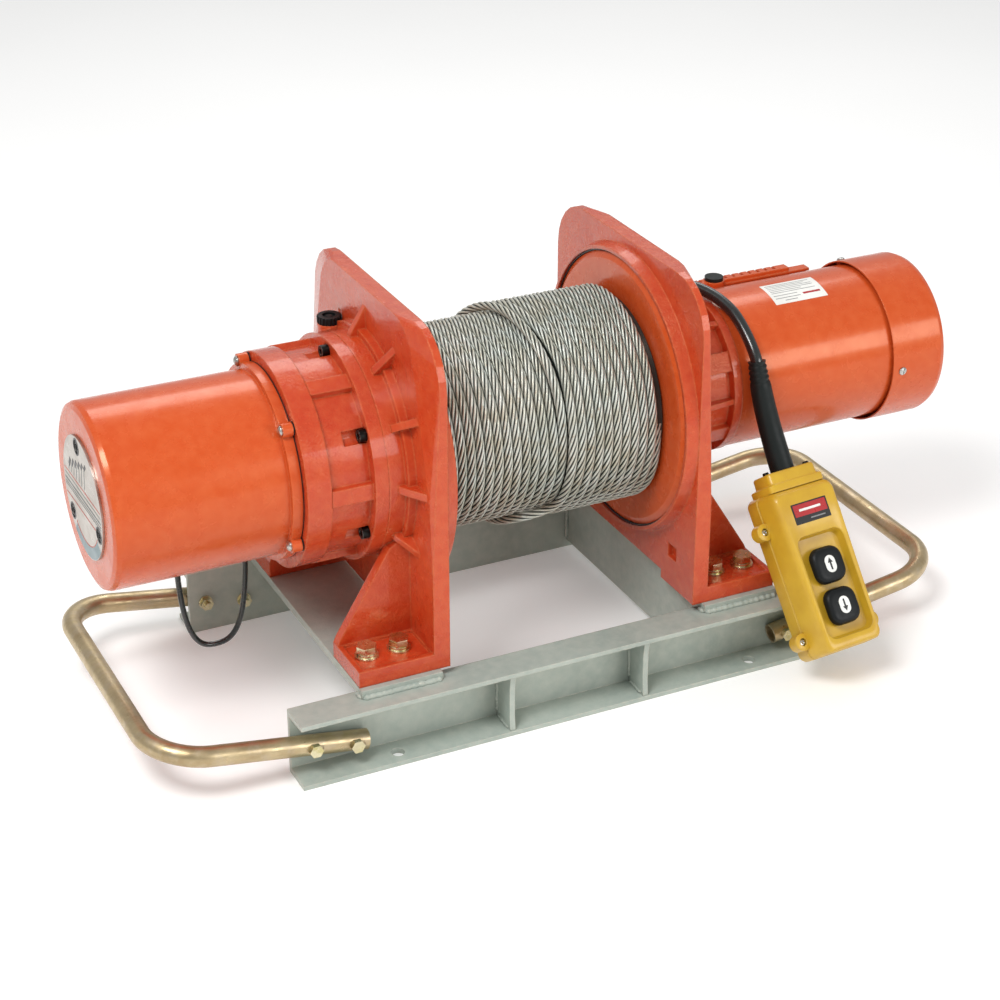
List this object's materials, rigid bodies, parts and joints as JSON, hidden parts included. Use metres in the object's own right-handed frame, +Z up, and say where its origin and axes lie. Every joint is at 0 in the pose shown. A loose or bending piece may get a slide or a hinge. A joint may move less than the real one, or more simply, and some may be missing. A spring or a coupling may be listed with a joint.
{
  "type": "electric wire rope winch",
  "caption": "Electric wire rope winch: cable drum between cast supports on a channel frame, planetary gearbox, motor, carry handles and push-button pendant.",
  "frame": {"origin": "on the ground under the middle of the drum, at the centre of the four base mounting holes", "axes": "+X along the drum axis towards the motor, +Y to the back, away from the pendant, +Z up"},
  "size_m": [0.9768, 0.4712, 0.447],
  "materials": {
    "frame_grey": "silver-grey sprayed paint, worn bright at the edges, rough at the welds",
    "handle_zinc": "yellow zinc plated tube, satin",
    "bolt_zinc": "yellow zinc plated fasteners",
    "red_casting": "orange-red paint over rough cast iron",
    "red_sheet": "orange-red paint, smooth with light orange peel",
    "rope_steel": "stranded steel wire rope with a trace of grease",
    "bearing_steel": "ground bearing steel",
    "gear_steel": "machined steel",
    "bright_screw": "bright plated screw heads and plate",
    "black_screw": "black oxide socket screws",
    "black_plastic": "black moulded plastic",
    "black_rubber": "black rubber",
    "stator_core": "laminated core",
    "bare_aluminium": "cast aluminium, unpainted",
    "dark_iron": "dark cast iron",
    "contactor_grey": "dark grey moulded plastic",
    "pendant_yellow": "yellow moulded plastic, satin gloss",
    "pendant_label": "printed label, black and red bands, no lettering",
    "motor_sticker": "white sticker with faint grey lines, no lettering",
    "button_mark": "white printed mark"
  },
  "bodies": {
    "frame": {"front_channel": "frame_grey", "rear_channel": "frame_grey", "left_cross_angle": "frame_grey", "right_cross_angle": "frame_grey", "channel_stiffeners": "frame_grey", "left_handle": "handle_zinc", "right_handle": "handle_zinc", "handle_bolts": "bolt_zinc", "left_support": "red_casting", "right_support": "red_casting", "foot_bolts": "bolt_zinc", "foot_washers": "bolt_zinc", "foot_nuts": "bolt_zinc", "drum_bearings": "bearing_steel", "drum_seals": "black_rubber", "gear_housing": "red_casting", "housing_screws": "black_screw", "ring_gear": "red_casting", "cover_gasket": "black_rubber", "end_cover": "red_sheet", "cover_screws": "bright_screw", "end_plate": "bright_screw", "end_plate_screws": "black_screw", "contactors": "contactor_grey", "oil_plug": "black_plastic", "motor_adapter": "red_casting", "adapter_screws": "black_screw", "motor_bearings": "bearing_steel", "motor_shell": "red_sheet", "stator": "stator_core", "rear_endshield": "bare_aluminium", "brake_magnet": "dark_iron", "fan_cowl": "red_sheet", "cowl_screws": "bright_screw", "terminal_box": "red_sheet", "terminal_lid": "red_sheet", "terminal_seals": "black_rubber", "pendant_cable": "black_rubber", "control_cable": "black_rubber", "pendant_case": "pendant_yellow", "pendant_cap": "pendant_yellow"},
    "drum": {"drum": "red_sheet", "wire_rope": "rope_steel", "drum_bearing_inners": "bearing_steel", "output_carrier": "gear_steel", "second_planet_pins": "gear_steel"},
    "input_shaft": {"drive_shaft": "gear_steel", "rotor": "stator_core", "brake_disc": "dark_iron", "cooling_fan": "black_plastic"},
    "sun_carrier": {"sun_carrier": "gear_steel", "first_planet_pins": "gear_steel"},
    "first_planet_a": {"first_planet_a": "gear_steel"},
    "second_planet_a": {"second_planet_a": "gear_steel"},
    "first_planet_b": {"first_planet_b": "gear_steel"},
    "second_planet_b": {"second_planet_b": "gear_steel"},
    "first_planet_c": {"first_planet_c": "gear_steel"},
    "second_planet_c": {"second_planet_c": "gear_steel"},
    "up_button": {"up_button": "black_plastic"},
    "down_button": {"down_button": "black_plastic"}
  },
  "joints": [
    {"name": "drum_spin", "type": "hinge", "parent": "frame", "child": "drum", "pos_m": [0, 0, 0.276], "axis": [1, 0, 0], "continuous": true},
    {"name": "input_shaft_spin", "type": "hinge", "parent": "frame", "child": "input_shaft", "pos_m": [0.24, 0, 0.276], "axis": [1, 0, 0], "continuous": true},
    {"name": "sun_carrier_spin", "type": "hinge", "parent": "frame", "child": "sun_carrier", "pos_m": [-0.235, 0, 0.276], "axis": [1, 0, 0], "continuous": true},
    {"name": "first_planet_a_spin", "type": "hinge", "parent": "sun_carrier", "child": "first_planet_a", "pos_m": [-0.264, 0.048, 0.276], "axis": [1, 0, 0], "continuous": true},
    {"name": "second_planet_a_spin", "type": "hinge", "parent": "drum", "child": "second_planet_a", "pos_m": [-0.233, 0.051, 0.276], "axis": [1, 0, 0], "continuous": true},
    {"name": "first_planet_b_spin", "type": "hinge", "parent": "sun_carrier", "child": "first_planet_b", "pos_m": [-0.264, -0.024, 0.31757], "axis": [1, 0, 0], "continuous": true},
    {"name": "second_planet_b_spin", "type": "hinge", "parent": "drum", "child": "second_planet_b", "pos_m": [-0.233, -0.0255, 0.32017], "axis": [1, 0, 0], "continuous": true},
    {"name": "first_planet_c_spin", "type": "hinge", "parent": "sun_carrier", "child": "first_planet_c", "pos_m": [-0.264, -0.024, 0.23443], "axis": [1, 0, 0], "continuous": true},
    {"name": "second_planet_c_spin", "type": "hinge", "parent": "drum", "child": "second_planet_c", "pos_m": [-0.233, -0.0255, 0.23183], "axis": [1, 0, 0], "continuous": true},
    {"name": "up_button_press", "type": "slide", "parent": "frame", "child": "up_button", "axis": [-0.0835, 0.7943, -0.6018], "range_m": [0, 0.0035], "stiffness_N_per_m": 600},
    {"name": "down_button_press", "type": "slide", "parent": "frame", "child": "down_button", "axis": [-0.0835, 0.7943, -0.6018], "range_m": [0, 0.0035], "stiffness_N_per_m": 600}
  ],
  "couplings": [
    {"joint": "input_shaft_spin", "follows": "drum_spin", "ratio": 45.333},
    {"joint": "sun_carrier_spin", "follows": "drum_spin", "ratio": 5.6667},
    {"joint": "first_planet_a_spin", "follows": "drum_spin", "ratio": -13.222},
    {"joint": "second_planet_a_spin", "follows": "drum_spin", "ratio": -2.5455},
    {"joint": "first_planet_b_spin", "follows": "drum_spin", "ratio": -13.222},
    {"joint": "second_planet_b_spin", "follows": "drum_spin", "ratio": -2.5455},
    {"joint": "first_planet_c_spin", "follows": "drum_spin", "ratio": -13.222},
    {"joint": "second_planet_c_spin", "follows": "drum_spin", "ratio": -2.5455}
  ]
}
